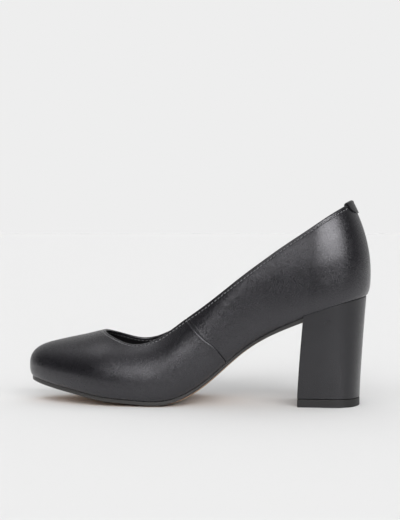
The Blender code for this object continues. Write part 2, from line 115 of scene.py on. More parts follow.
# %% Smooth curves through the tables
class Spline:
    """A smooth curve through the rows of a table, natural at both ends."""

    def __init__(self, xs, ys):
        self.x, self.y = np.asarray(xs, float), np.asarray(ys, float)
        step, slope = np.diff(self.x), np.diff(self.y) / np.diff(self.x)
        system, right = np.eye(len(self.x)), np.zeros(len(self.x))
        for i in range(1, len(self.x) - 1):
            system[i, i - 1 : i + 2] = step[i - 1], 2 * (step[i - 1] + step[i]), step[i]
            right[i] = 6 * (slope[i] - slope[i - 1])
        self.bend = np.linalg.solve(system, right)

    def __call__(self, x):
        x = np.clip(x, self.x[0], self.x[-1])
        i = np.clip(np.searchsorted(self.x, x) - 1, 0, len(self.x) - 2)
        h = self.x[i + 1] - self.x[i]
        a, b = (self.x[i + 1] - x) / h, (x - self.x[i]) / h
        curved = (a**3 - a) * self.bend[i] + (b**3 - b) * self.bend[i + 1]
        return a * self.y[i] + b * self.y[i + 1] + curved * h * h / 6


def column_of(name, unit):
    """The spline of one column of SECTIONS, in millimetres over x."""
    i = SECTION_COLUMNS.index(name)
    return Spline([row[0] * LENGTH for row in SECTIONS], [row[i] * unit for row in SECTIONS])


INNER, OUTER, CREST = (column_of(name, BALL_WIDTH) for name in ("inner", "outer", "crest"))
UNDER = column_of("under", SEAT_HEIGHT)
BELLY, CROWN = (column_of(name, INSTEP) for name in ("belly", "crown"))
TUCK, SOLE, ROUND = (column_of(name, 1.0) for name in ("tuck", "sole", "round"))
SIDE_LINE = Spline([a * LENGTH for a, _ in TOPLINE], [h * BACK_HEIGHT for _, h in TOPLINE])
print("Underside at the ball %.1f mm, at the seat %.1f mm" % (UNDER(0.38 * LENGTH), UNDER(LENGTH)))


# %% The surface of the last
def rounded(distance, reach, power):
    """0 at the end of the last, rising to 1 at reach from it along a superellipse."""
    t = np.clip(1 - distance / reach, 0, 1)
    return (1 - t**power) ** (1 / power)


def outline_y(side, x):
    """The widest line of the upper in plan."""
    ends = rounded(x, TOE_ROUND, TOE_POWER) * rounded(LENGTH - x, HEEL_ROUND, HEEL_POWER)
    return side * (INNER(x) if side == MEDIAL else OUTER(x)) * ends


def widest_z(x):
    return UNDER(x) + BELLY(x)


def lean(x, z):
    """How far a point of the heel part is moved forward by the lean of the back."""
    share = np.clip((x - (LENGTH - LEAN_REACH)) / LEAN_REACH, 0, 1)
    reach = np.clip((z - widest_z(LENGTH)) / (BACK_HEIGHT - widest_z(LENGTH)), 0, None)
    return BACK_LEAN * reach**2 * share * share * (3 - 2 * share)


def last_point(side, x, angle):
    """The last above its widest line, where angle is 0. At a right angle it is on the crest."""
    ridge = CREST(x) * rounded(x, TOE_ROUND, TOE_POWER)
    y = ridge + (outline_y(side, x) - ridge) * np.cos(angle)
    z = widest_z(x) + CROWN(x) * rounded(x, TIP_ROUND, TIP_POWER) * np.sin(angle)
    return np.stack([x - lean(x, z), y + 0 * z, z], axis=-1)


PLAN_X = np.linspace(0, LENGTH, 500)
PLACE = np.array([cad_low.x / MM, cad_low.y / MM - outline_y(MEDIAL, PLAN_X).min(), 0.0])
print("The last is placed at", np.round(PLACE, 2), "mm")


# %% Where the topline cuts the last
def eased(value, start, end):
    """0 up to start and 1 from end, with a smooth rise between them."""
    t = np.clip((value - start) / (end - start), 0, 1)
    return t * t * (3 - 2 * t)


def above_topline(points):
    """Whether points of the last lie above the topline, which is lower on the outer side."""
    x, y, z = np.moveaxis(points, -1, 0)
    outer = eased(y, -20.0, 20.0)
    back = LENGTH - BACK_LEAN
    ankle = np.sin(math.pi * np.clip((x - SIDE_START) / (back - SIDE_START), 0, 1)) ** 2
    forward = THROAT_SKEW * outer * (1 - eased(x, SKEW_START, SKEW_END))
    return z > SIDE_LINE(x + forward) - ANKLE_DROP * outer * ankle


def halved(low, high, is_past, rounds=36):
    """Where is_past turns true between low and high, found by halving."""
    for _ in range(rounds):
        middle = (low + high) / 2
        past = is_past(middle)
        low, high = np.where(past, low, middle), np.where(past, middle, high)
    return (low + high) / 2


def topline_angle(side, x):
    x = np.asarray(x, float)
    return halved(0 * x, 0 * x + math.pi / 2, lambda angle: above_topline(last_point(side, x, angle)))


THROAT = float(
    halved(
        np.array(0.15 * LENGTH),
        np.array(0.35 * LENGTH),
        lambda x: above_topline(last_point(MEDIAL, x, math.pi / 2)),
    )
)
print("The throat opens %.1f mm behind the toe tip" % THROAT)


# %% The turned-in edge under the foot
def inward(side, x):
    """The unit normal of the widest line in plan, pointing into the shoe."""
    if x <= 0 or x >= LENGTH:
        return np.array([1.0 if x <= 0 else -1.0, 0.0])
    low, high = max(x - 0.02, 0), min(x + 0.02, LENGTH)
    run, rise = high - low, outline_y(side, high) - outline_y(side, low)
    return np.array([rise, -run]) / math.hypot(run, rise) * side


def foot_at(side, x, inset):
    """The foot on the widest line whose point at this inset lies at x."""
    foot_x = x
    for _ in range(6):
        foot_x = x - inset * inward(side, foot_x)[0]
    return foot_x


def off_level(x, distance):
    """The height that lies this distance square off the underside, where that slopes."""
    slope = UNDER(x + 0.5) - UNDER(x - 0.5)
    return distance * math.sqrt(1 + slope * slope)


def bed(side, foot_x, inset, rise=0.0):
    """A point of the flat underside, this far inside the widest line and raised by rise."""
    normal = inward(side, foot_x)
    x, y = foot_x + inset * normal[0], outline_y(side, foot_x) + inset * normal[1]
    return np.array([x, y, UNDER(x) + off_level(x, rise)], float)


def turned_down(cosine):
    """0 on the widest line, where the cosine of the wall's turn is 1, and 1 on the flat underside."""
    return (1 - cosine**TUCK_POWER) ** (1 / TUCK_POWER)


def underside(side, foot_x, inset, rise=0.0):
    """The same, with the wall's turn up to the widest line where inset is less than its tuck."""
    point, tuck = bed(side, foot_x, inset, rise), TUCK(foot_x)
    if inset < tuck:
        level = bed(side, foot_x, tuck)[2]
        drop = (widest_z(foot_x) - level) * turned_down(1 - inset / tuck)
        point[2] += widest_z(foot_x) - drop - UNDER(point[0])
    return point


print("The wall turns in by %.1f mm at the toe and %.1f mm in the waist" % (TUCK(0), TUCK(0.635 * LENGTH)))

# %% [markdown]
# ## The pattern of the upper
#
# A pump is cut in three panels: a vamp over the toes, and two quarters that meet in a seam at the
# back. A side seam runs down from the topline on either side. We lay one fine grid round the
# whole last, whose columns bend until they follow the side seams, and cut the panels out of it
# along its columns. Then neighbouring panels share their seam exactly, and no edge is ragged.

# %% Places of the seams
SEAM_TOP, SEAM_FOOT = 113.1, 127.4  # x of the side seams at the topline and on the widest line
SEAM_SLANT = 13.9  # how much further back they run down to the sole
RELAX = 190.0  # from here back the columns stand upright again
COLUMN_STEP = 0.8
SEAM_STEPS = (0.0, 0.16, 0.32, 0.5, 0.72, 1.0, 1.35, 1.8, 2.4)
EDGE_STEPS = (0.9, 1.1, 1.4, 1.75, 2.1, 2.45, 2.8, 3.2, 3.7, 4.4, 5.2)
TUCK_ROWS, WALL_ROWS = 26, 50


def lengths_along(points):
    """How far each point of a polyline lies from its start, along it."""
    return np.concatenate([[0], np.cumsum(np.linalg.norm(np.diff(points, axis=0), axis=1))])


def read_at(places, reach, points):
    """The points of a polyline, or values beside them, at these places along it."""
    return np.stack([np.interp(places, reach, values) for values in points.T], axis=-1)


def eased_steps(count):
    """Numbers from 0 to 1 that lie closer together at both ends."""
    return (1 - np.cos(np.linspace(0, math.pi, count))) / 2


def spaced(length, near_start, near_end):
    """Places from 0 to length about COLUMN_STEP apart, and closer together at a seam."""
    first = [s for s in SEAM_STEPS if near_start and s < length / 3]
    last = [length - s for s in SEAM_STEPS[::-1] if near_end and s < length / 3]
    low, high = (first or [0.0])[-1], (last or [length])[0]
    count = max(int(round((high - low) / COLUMN_STEP)), 2)
    return np.array((first or [0.0]) + list(np.linspace(low, high, count + 1)[1:-1]) + (last or [length]))


print("Side seams from x = %.1f mm down to x = %.1f mm" % (SEAM_TOP, SEAM_FOOT + SEAM_SLANT))


# %% Feet and tops of the columns
def feet_between(side, start, end, near_start=False, near_end=False):
    """Feet on the widest line between two x, spaced along that line."""
    dense = start + (end - start) * eased_steps(1500)
    reach = lengths_along(np.stack([dense, outline_y(side, dense)], axis=1))
    return np.interp(spaced(reach[-1], near_start, near_end), reach, dense)


def throat_tops(side, shares):
    """(x, angle) at these shares of the way round the throat to SIDE_START."""
    xs = THROAT + (SIDE_START - THROAT) * np.linspace(0, 1, 500) ** 2
    angles = topline_angle(side, xs)
    angles[0] = math.pi / 2
    reach = lengths_along(last_point(side, xs, angles))
    return read_at(shares * reach[-1], reach, np.stack([xs, angles], axis=1)).T


def side_columns(side):
    """(foot x, top x, top angle) of one side's columns, and the number of the seam's column."""
    front = feet_between(side, 0.0, SIDE_START)
    line = np.stack([front, outline_y(side, front)], axis=1)
    shares = lengths_along(line) / lengths_along(line)[-1]
    front_tops, front_angles = throat_tops(side, shares)
    middle = feet_between(side, SIDE_START, SEAM_FOOT, near_end=True)[1:]
    middle_tops = SIDE_START + (SEAM_TOP - SIDE_START) * (middle - SIDE_START) / (SEAM_FOOT - SIDE_START)
    rear = feet_between(side, SEAM_FOOT, LENGTH, near_start=True, near_end=True)[1:]
    ahead = np.clip((RELAX - rear) / (RELAX - SEAM_FOOT), 0, 1)
    rear_tops = rear - (SEAM_FOOT - SEAM_TOP) * ahead**2 * (3 - 2 * ahead)
    tops = np.concatenate([middle_tops, rear_tops])
    feet = np.concatenate([front, middle, rear])
    top_x = np.concatenate([front_tops, tops])
    top_angle = np.concatenate([front_angles, topline_angle(side, tops)])
    return np.stack([feet, top_x, top_angle], axis=1), len(front) + len(middle) - 1


inner_columns, inner_seam = side_columns(MEDIAL)
outer_columns, outer_seam = side_columns(LATERAL)
print(len(inner_columns), "columns on the inner side,", len(outer_columns), "on the outer side")


# %% The grid round the last
def wall_path(side, foot_x, top_x, top_angle):
    """The wall of one column as a fine polyline from the widest line up to the topline."""
    steps = np.linspace(0, 1, 320) ** 1.5
    x = foot_x + (top_x - foot_x) * steps
    if foot_x >= SIDE_START:
        return last_point(side, x, np.arcsin(np.clip(steps * math.sin(top_angle), 0, 1)))
    foot_y, top_y = outline_y(side, foot_x), last_point(side, top_x, top_angle)[1]
    y = foot_y + (top_y - foot_y) * steps
    ridge = CREST(x) * rounded(x, TOE_ROUND, TOE_POWER)
    reach = outline_y(side, x) - ridge
    across = np.divide(y - ridge, reach, out=np.ones_like(x), where=reach != 0)
    angle = np.arccos(np.clip(across, 0, 1))
    angle[0] = 0
    return last_point(side, x, angle)


def column_points(side, column, edge_steps, wall_rows, tuck_rows):
    """One column from under the foot to the highest of edge_steps, measured down from the topline."""
    path = wall_path(side, *column)
    reach = lengths_along(path)
    edge = reach[-1] - np.array(edge_steps[::-1])
    wanted = np.concatenate([np.linspace(0, edge[0], wall_rows + 1)[:-1], edge])
    wall = read_at(wanted, reach, path)
    turns = np.linspace(math.pi / 2, 0, tuck_rows + 1)[:-1]
    turns = np.concatenate([turns[:1], turns])
    slant = SEAM_SLANT * eased(column[0], SIDE_START, SEAM_FOOT) * (1 - eased(column[0], SEAM_FOOT, RELAX))
    feet = column[0] + slant * turned_down(np.cos(turns))
    insets = [TUCK(foot) * (1 - math.cos(turn)) for foot, turn in zip(feet, turns)]
    insets[0] += MARGIN * MARGIN_SHARE
    under = [underside(side, foot, inset) for foot, inset in zip(feet, insets)]
    return np.vstack([under, wall])


def last_grid(edge_steps, wall_rows, tuck_rows, skip=1):
    """Points once round the last, from the toe by the inner side, as columns of rows."""
    inner = [column_points(MEDIAL, c, edge_steps, wall_rows, tuck_rows) for c in inner_columns[::skip]]
    outer = [column_points(LATERAL, c, edge_steps, wall_rows, tuck_rows) for c in outer_columns[::skip]]
    if skip > 1:
        inner.append(column_points(MEDIAL, inner_columns[-1], edge_steps, wall_rows, tuck_rows))
        return np.array(inner + outer[-1:0:-1])
    return np.array(inner + outer[-2:0:-1])


def unit(vectors):
    return vectors / np.linalg.norm(vectors, axis=-1, keepdims=True)


def normals_of(grid):
    """Outward unit normals of a grid that closes round the last."""
    along = np.roll(grid, -1, axis=0) - np.roll(grid, 1, axis=0)
    upward = np.gradient(grid, axis=1)
    return unit(np.cross(along, upward))


skin = last_grid(EDGE_STEPS, WALL_ROWS, TUCK_ROWS)
skin_normals = normals_of(skin)
print("The grid has %d columns of %d points" % skin.shape[:2])


# %% Distances measured on the leather
def down_from_topline(grid, edge_steps):
    """How far each point lies below the topline, along its column."""
    steps = np.linalg.norm(np.diff(grid, axis=1), axis=2)
    below = np.cumsum(steps[:, ::-1], axis=1)[:, ::-1]
    return np.concatenate([below, np.zeros((len(grid), 1))], axis=1) + edge_steps[0]


def from_column(grid, number):
    """How far each point lies from one column, along its row and by the shorter way round."""
    steps = np.linalg.norm(np.roll(grid, -1, axis=0) - grid, axis=2)
    reach = np.cumsum(steps, axis=0) - steps
    around = reach - reach[number]
    total = steps.sum(axis=0)
    return (around + total / 2) % total - total / 2


BACK_COLUMN = len(inner_columns) - 1
OUTER_SEAM_COLUMN = len(skin) - outer_seam
below_top = down_from_topline(skin, EDGE_STEPS)
seam_columns = {"inner": inner_seam, "back": BACK_COLUMN, "outer": OUTER_SEAM_COLUMN}
from_seam = {name: from_column(skin, number) for name, number in seam_columns.items()}
print("Seams at columns", seam_columns)

# %% [markdown]
# ## Relief in the leather
#
# The solid is smooth, but leather is not: each seam is a narrow valley between two soft lips, the
# folded topline is a little plumper than the wall, its stitches lie in a groove, and the hide
# keeps shallow creases where it was pulled over the last. All of it is worked into the mesh as a
# small move along the normal, so that it shows from any side and also without a material.

# %% Seams and the folded edge
SEAM_DEPTH, SEAM_HALF = 0.42, 0.34
LIP_HEIGHT, LIP_PLACE, LIP_HALF = 0.05, 1.15, 0.7
STITCH_DOWN = 2.5  # the row of stitches under the topline
GROOVE_DEPTH, GROOVE_HALF = 0.16, 0.45
BEAD_HEIGHT, BEAD_PLACE, BEAD_HALF = 0.12, 1.2, 0.8


def hump(distance, half_width):
    """1 at no distance, falling off smoothly like a bell."""
    return np.exp(-((distance / half_width) ** 2))


relief = np.zeros(skin.shape[:2])
for distance in from_seam.values():
    relief -= SEAM_DEPTH * hump(distance, SEAM_HALF)
    relief += LIP_HEIGHT * hump(np.abs(distance) - LIP_PLACE, LIP_HALF)
relief += BEAD_HEIGHT * hump(below_top - BEAD_PLACE, BEAD_HALF)
relief -= GROOVE_DEPTH * hump(below_top - STITCH_DOWN, GROOVE_HALF)
print("Seam valleys are %.2f mm deep" % SEAM_DEPTH)

# %% Soft creases, listed one by one
# Each crease: side, x and z of its middle, its direction in degrees, half length, half width and
# depth in millimetres. A negative depth is a ridge.
CREASES = (
    (MEDIAL, 162.0, 73.0, 35.0, 7.0, 1.8, 0.16),
    (MEDIAL, 164.5, 71.0, -20.0, 5.0, 1.5, 0.12),
    (MEDIAL, 160.0, 69.5, 10.0, 8.0, 2.6, -0.12),
    (MEDIAL, 118.0, 44.0, 48.0, 15.0, 5.0, 0.10),
    (MEDIAL, 108.0, 34.0, 30.0, 13.0, 4.5, -0.10),
    (MEDIAL, 96.0, 24.0, 12.0, 14.0, 4.0, 0.08),
    (MEDIAL, 84.0, 30.0, -15.0, 10.0, 4.0, 0.07),
    (MEDIAL, 196.0, 80.0, 80.0, 9.0, 2.6, 0.10),
    (MEDIAL, 205.0, 96.0, 25.0, 18.0, 5.0, -0.12),
    (MEDIAL, 182.0, 97.0, 40.0, 10.0, 3.0, 0.06),
    (MEDIAL, 140.0, 62.0, 38.0, 16.0, 4.0, 0.07),
    (LATERAL, 120.0, 42.0, 45.0, 14.0, 5.0, 0.10),
    (LATERAL, 104.0, 30.0, 20.0, 13.0, 4.5, -0.09),
    (LATERAL, 150.0, 62.0, 35.0, 12.0, 3.0, 0.09),
    (LATERAL, 198.0, 84.0, 75.0, 10.0, 3.0, 0.09),
    (LATERAL, 88.0, 27.0, -10.0, 12.0, 4.0, 0.07),
)
side_of = np.sign(skin[..., 1])
for side, x, z, turn, half_length, half_width, depth in CREASES:
    run = math.cos(math.radians(turn)), math.sin(math.radians(turn))
    aside, above = skin[..., 0] - x, skin[..., 2] - z
    lengthwise = aside * run[0] + above * run[1]
    crosswise = above * run[0] - aside * run[1]
    bent = crosswise + 0.02 * lengthwise**2
    relief -= (side_of == side) * depth * hump(lengthwise, half_length) * hump(bent, half_width)
leather_grid = skin + relief[..., None] * skin_normals
print(len(CREASES), "creases, relief from %.2f to %.2f mm" % (relief.min(), relief.max()))

# %% [markdown]
# ## Materials
#
# Each finish is a Principled BSDF fed by two node groups that several materials share. One makes
# the grain of a hide, the other the slow cloudiness that any used surface has. Their sockets are
# made with interface.new_socket, and they put out plain values for the material to use.


# %% Helpers for nodes
def fill(tree, node, inputs):
    """Give a node its inputs, each a number, a vector or a socket to link from."""
    for name, value in inputs.items():
        if isinstance(value, bpy.types.NodeSocket):
            tree.links.new(value, node.inputs[name])
        else:
            node.inputs[name].default_value = value


def add(tree, kind, inputs=None, **settings):
    """A new node with its settings and inputs."""
    node = tree.nodes.new(kind)
    for name, value in settings.items():
        setattr(node, name, value)
    fill(tree, node, inputs or {})
    return node


def math_node(tree, operation, *values):
    """The output socket of a Math node whose inputs are numbers or sockets."""
    return add(tree, "ShaderNodeMath", dict(enumerate(values)), operation=operation).outputs[0]


def scaled_vector(tree, vector, factor):
    """The output socket of a vector scaled by a number."""
    return add(tree, "ShaderNodeVectorMath", {0: vector, "Scale": factor}, operation="SCALE").outputs[0]


def new_group(name, inputs, outputs):
    """An empty node group with number sockets, and its two end nodes."""
    tree = bpy.data.node_groups.new(name, "ShaderNodeTree")
    for label, default in inputs.items():
        socket = tree.interface.new_socket(name=label, in_out="INPUT", socket_type="NodeSocketFloat")
        socket.default_value = default
    for label in outputs:
        tree.interface.new_socket(name=label, in_out="OUTPUT", socket_type="NodeSocketFloat")
    return tree, tree.nodes.new("NodeGroupInput"), tree.nodes.new("NodeGroupOutput")


print("Node helpers ready")


# %% The grain of a hide
def build_grain_group():
    """Rounded cells with fine valleys between them, warped so that no row lines up."""
    tree, start, end = new_group("hide_grain", {"Cell Size": 0.0007, "Warp": 0.35}, ("Height", "Valleys"))
    place = add(tree, "ShaderNodeTexCoord").outputs["Object"]
    scaled = scaled_vector(tree, place, math_node(tree, "DIVIDE", 1.0, start.outputs["Cell Size"]))
    warp = add(tree, "ShaderNodeTexNoise", {"Vector": scaled, "Scale": 0.6, "Detail": 2.0})
    pushed = scaled_vector(tree, warp.outputs["Color"], start.outputs["Warp"])
    moved = add(tree, "ShaderNodeVectorMath", {0: scaled, 1: pushed}, operation="ADD").outputs[0]
    spread = {"Vector": moved, "Scale": 1.0, "Randomness": 1.0}
    cells = add(tree, "ShaderNodeTexVoronoi", spread, feature="DISTANCE_TO_EDGE")
    edge = {"Value": cells.outputs["Distance"], "From Max": 0.28}
    pillow = add(tree, "ShaderNodeMapRange", edge, interpolation_type="SMOOTHSTEP").outputs["Result"]
    fine = add(tree, "ShaderNodeTexNoise", {"Vector": moved, "Scale": 2.4, "Detail": 3.0, "Roughness": 0.6})
    height = math_node(tree, "MULTIPLY_ADD", fine.outputs["Fac"], 0.5, pillow)
    fill(tree, end, {"Height": height, "Valleys": math_node(tree, "SUBTRACT", 1.0, pillow)})
    return tree


hide_grain = build_grain_group()
print("Group", hide_grain.name, "ready")


# %% Slow cloudiness
def build_cloud_group():
    """Soft patches that shift tone and gloss a little, and a broad low relief."""
    tree, start, end = new_group("soft_patches", {"Patch Size": 0.02, "Contrast": 1.0}, ("Patches", "Ripple"))
    place = add(tree, "ShaderNodeTexCoord").outputs["Object"]
    scale = math_node(tree, "DIVIDE", 1.0, start.outputs["Patch Size"])
    cloud = {"Vector": place, "Scale": scale, "Detail": 3.0, "Roughness": 0.55, "Distortion": 0.4}
    broad = add(tree, "ShaderNodeTexNoise", cloud)
    centred = math_node(tree, "SUBTRACT", broad.outputs["Fac"], 0.5)
    raised = math_node(tree, "MULTIPLY", centred, start.outputs["Contrast"])
    finer = math_node(tree, "MULTIPLY", scale, 5.0)
    wave = {"Vector": place, "Scale": finer, "Detail": 1.0, "Roughness": 0.4}
    ripple = add(tree, "ShaderNodeTexNoise", wave)
    fill(tree, end, {"Patches": math_node(tree, "ADD", raised, 0.5), "Ripple": ripple.outputs["Fac"]})
    return tree


soft_patches = build_cloud_group()
print("Group", soft_patches.name, "ready")


# %% Parts that every material uses
def new_material(name, coat=0.0, coat_roughness=0.25, specular=0.5, sheen=0.0):
    """A material with a Principled BSDF whose constant sockets are set directly."""
    material = bpy.data.materials.new(name)
    material.use_nodes = True
    shader = material.node_tree.nodes["Principled BSDF"]
    constants = {
        "Coat Weight": coat,
        "Coat Roughness": coat_roughness,
        "Specular IOR Level": specular,
        "Sheen Weight": sheen,
    }
    fill(material.node_tree, shader, constants)
    return material, material.node_tree, shader


def ranged(tree, value, low, high):
    """A socket's value from 0 to 1 spread between low and high."""
    return add(tree, "ShaderNodeMapRange", {"Value": value, "To Min": low, "To Max": high}).outputs["Result"]


def mixed_colour(tree, share, first, second):
    """A colour between two others by a socket. Inputs 6 and 7 of a Mix node are its colours."""
    inputs = {"Factor": share, 6: (*first, 1.0), 7: (*second, 1.0)}
    return add(tree, "ShaderNodeMix", inputs, data_type="RGBA").outputs[2]


def bumped(tree, height, depth, under=None):
    """A normal from a height of this depth in metres, on top of another normal."""
    node = add(tree, "ShaderNodeBump", {"Strength": 1.0, "Distance": depth, "Height": height})
    if under is not None:
        tree.links.new(under, node.inputs["Normal"])
    return node.outputs["Normal"]


def clouded(tree, size, contrast):
    """A node of the shared group of soft patches."""
    return add(tree, "ShaderNodeGroup", {"Patch Size": size, "Contrast": contrast}, node_tree=soft_patches)


print("Material helpers ready")

# %% Leathers with a grain
COOL_SHINE = (0.96, 0.945, 1.0, 1.0)  # the dye of the leather cools its shine a little
HIDE_PATCH, RIPPLE_DEPTH = 0.02, 0.00004  # metres
HIDE_CONTRAST, VALLEY_DULLNESS = 1.6, 0.08


def hide_material(name, dark, light, rough, cell, depth, **shell):
    """Leather: dark and light tones, (low, high) roughness, cell size and grain depth in metres."""
    material, tree, shader = new_material(name, **shell)
    grain = add(tree, "ShaderNodeGroup", {"Cell Size": cell}, node_tree=hide_grain)
    clouds = clouded(tree, HIDE_PATCH, HIDE_CONTRAST).outputs
    gloss = ranged(tree, clouds["Patches"], *rough)
    broad = bumped(tree, clouds["Ripple"], RIPPLE_DEPTH)
    finish = {
        "Base Color": mixed_colour(tree, clouds["Patches"], dark, light),
        "Roughness": math_node(tree, "MULTIPLY_ADD", grain.outputs["Valleys"], VALLEY_DULLNESS, gloss),
        "Normal": bumped(tree, grain.outputs["Height"], depth, broad),
        "Specular Tint": COOL_SHINE,
    }
    fill(tree, shader, finish)
    return material


UPPER_TONES = (0.0042, 0.0040, 0.0050), (0.0085, 0.0081, 0.0100)
TAB_TONES = (0.005, 0.005, 0.006), (0.009, 0.009, 0.010)
LINING_TONES = (0.011, 0.011, 0.012), (0.019, 0.018, 0.018)
SOCK_TONES = (0.014, 0.013, 0.013), (0.024, 0.023, 0.022)
HEEL_TONES = (0.0055, 0.0055, 0.0060), (0.0105, 0.0105, 0.0112)
upper_leather = hide_material(
    "upper_leather", *UPPER_TONES, (0.17, 0.25), 0.0009, 0.000036, coat=0.15, specular=0.8
)
tab_leather = hide_material("tab_leather", *TAB_TONES, (0.26, 0.34), 0.0008, 0.00003, coat=0.2)
lining_leather = hide_material("lining_leather", *LINING_TONES, (0.62, 0.72), 0.0011, 0.00002)
sock_leather = hide_material("sock_leather", *SOCK_TONES, (0.5, 0.62), 0.0010, 0.00002)
heel_cover = hide_material("heel_cover", *HEEL_TONES, (0.25, 0.34), 0.0009, 0.00004, coat=0.15, specular=0.6)
print("Five kinds of leather")


# %% Sole leather, its painted edge, thread and rubber
def sole_material():
    """Tan sole leather, burnished darker in patches and lightly brushed along the shoe."""
    material, tree, shader = new_material("sole_leather", coat=0.1, coat_roughness=0.3)
    patches = clouded(tree, 0.03, 1.8).outputs["Patches"]
    place = add(tree, "ShaderNodeTexCoord").outputs["Object"]
    stretch = add(tree, "ShaderNodeMapping", {"Vector": place, "Scale": (60.0, 900.0, 900.0)})
    fibres = add(tree, "ShaderNodeTexNoise", {"Vector": stretch.outputs[0], "Scale": 1.0, "Detail": 3.0})
    finish = {
        "Base Color": mixed_colour(tree, patches, (0.36, 0.2, 0.1), (0.5, 0.31, 0.175)),
        "Roughness": ranged(tree, patches, 0.42, 0.56),
        "Normal": bumped(tree, fibres.outputs["Fac"], 0.00003),
    }
    fill(tree, shader, finish)
    return material


def plain_material(name, dark, light, rough, size, depth, **shell):
    """A fine even texture from noise of one size, for paint, thread and rubber."""
    material, tree, shader = new_material(name, **shell)
    place = add(tree, "ShaderNodeTexCoord").outputs["Object"]
    even = {"Vector": place, "Scale": 1.0 / size, "Detail": 3.0, "Roughness": 0.6}
    speckle = add(tree, "ShaderNodeTexNoise", even).outputs["Fac"]
    finish = {
        "Base Color": mixed_colour(tree, speckle, dark, light),
        "Roughness": ranged(tree, speckle, *rough),
        "Normal": bumped(tree, speckle, depth),
    }
    fill(tree, shader, finish)
    return material


PAINT_TONES = (0.02, 0.019, 0.019), (0.034, 0.032, 0.031)
# The stitch thread is black, but its colour is painted light grey: a painted highlight standing in for the
# glints on its glossy thread.
THREAD_GLINT_TONES = (0.12, 0.12, 0.125), (0.22, 0.22, 0.23)
RUBBER_TONES = (0.007, 0.007, 0.007), (0.013, 0.013, 0.013)
sole_leather = sole_material()
edge_paint = plain_material("edge_paint", *PAINT_TONES, (0.36, 0.5), 0.002, 0.00003, coat=0.1)
thread_painted_glint = plain_material("thread_painted_glint", *THREAD_GLINT_TONES, (0.4, 0.55), 0.0004, 0.00005, sheen=0.3)
top_rubber = plain_material("top_rubber", *RUBBER_TONES, (0.5, 0.64), 0.0008, 0.00003)
print("Sole, edge paint, thread and rubber")

# %% [markdown]
# ## From grids to pieces
#
# Most pieces here are lofts: rows of points joined by quads. One helper turns such a grid into a
# mesh object in metres, shades it smooth, and lets it ride on the shoe's one body.


# %% Mesh helpers
def grid_faces(columns, rows, closed=False):
    """Quads between neighbouring columns of a grid, facing out when the columns run as the last's do."""
    faces = []
    for i in range(columns if closed else columns - 1):
        here, there = i * rows, (i + 1) % columns * rows
        faces += [(here + j, there + j, there + j + 1, here + j + 1) for j in range(rows - 1)]
    return faces


def ring_faces(rings, size):
    """Quads between neighbouring rings, each closed on itself."""
    faces = []
    for i in range(rings - 1):
        here, there = i * size, (i + 1) * size
        faces += [(here + j, here + (j + 1) % size, there + (j + 1) % size, there + j) for j in range(size)]
    return faces


def new_object(name, data):
    """An object in the scene's own collection."""
    thing = bpy.data.objects.new(name, data)
    bpy.context.scene.collection.objects.link(thing)
    return thing


def add_piece(name, points, faces, materials, face_materials=None, merge=True, sharp=60.0):
    """A mesh object from points in working millimetres."""
    points = (np.asarray(points, float).reshape(-1, 3) + PLACE) * MM
    mesh = bpy.data.meshes.new(name)
    mesh.from_pydata(points.tolist(), [], faces)
    for material in materials:
        mesh.materials.append(material)
    if face_materials is not None:
        mesh.polygons.foreach_set("material_index", np.asarray(face_materials, np.int32))
    if merge:
        shape = bmesh.new()
        shape.from_mesh(mesh)
        bmesh.ops.remove_doubles(shape, verts=shape.verts, dist=0.000002)
        bmesh.ops.dissolve_degenerate(shape, edges=shape.edges, dist=0.000001)
        bmesh.ops.recalc_face_normals(shape, faces=shape.faces)
        shape.to_mesh(mesh)
        shape.free()
    mesh.shade_smooth()
    if sharp:
        mesh.set_sharp_from_angle(angle=math.radians(sharp))
    piece = new_object(name, mesh)
    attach(piece, "root")
    print("%s: %d faces" % (name, len(mesh.polygons)))
    return piece


def soften(piece, width, segments=3, limit=40.0):
    """A Bevel modifier on the piece's sharp edges, its width in millimetres."""
    bevel = piece.modifiers.new("softened edges", "BEVEL")
    bevel.width = width * MM
    bevel.segments = segments
    bevel.limit_method = "ANGLE"
    bevel.angle_limit = math.radians(limit)
    bevel.harden_normals = True


# %% [markdown]
# ## The three leather panels
#
# The topline is a folded edge: the leather turns over the lining and is stitched down. So each
# column goes on past the wall, over a half round as thick as the wall, and a little way down the
# inside. The vamp and the quarters are cut from the grid at the seam columns.

# %% Fold the topline and cut the panels
FOLD_STEPS = 9
FOLD_INSIDE = 1.6  # how far the fold runs down the inside
fold_radius = EDGE_STEPS[0]
top_row, top_normal = leather_grid[:, -1], skin_normals[:, -1]
upward = skin[:, -1] - skin[:, -3]
upward -= np.sum(upward * top_normal, axis=1, keepdims=True) * top_normal
upward = unit(upward)
fold_centre = top_row - fold_radius * top_normal
fold = [
    fold_centre + fold_radius * (math.cos(turn) * top_normal + math.sin(turn) * upward)
    for turn in np.linspace(0, math.pi, FOLD_STEPS + 1)[1:]
]
fold.append(fold[-1] - FOLD_INSIDE * upward)
panel_grid = np.concatenate([leather_grid, np.stack(fold, axis=1)], axis=1)
panel_rows = panel_grid.shape[1]


def cut_panel(name, numbers):
    """One panel from the columns with these numbers."""
    cut = panel_grid[np.array(numbers) % len(panel_grid)]
    faces = grid_faces(len(cut), panel_rows)
    return add_piece(name, cut, faces, [upper_leather], merge=False, sharp=0)


vamp = cut_panel("vamp", range(OUTER_SEAM_COLUMN - len(skin), inner_seam + 1))
cut_panel("quarter_inner", range(inner_seam, BACK_COLUMN + 1))
cut_panel("quarter_outer", range(BACK_COLUMN, OUTER_SEAM_COLUMN + 1))
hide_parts("upper")

# %% [markdown]
# ## The lining
#
# Inside, a thin lining is glued to the leather. Its cut edge stops a millimetre under the fold,
# and it runs down the wall until it meets the sock. It follows the same last, one wall inside it.

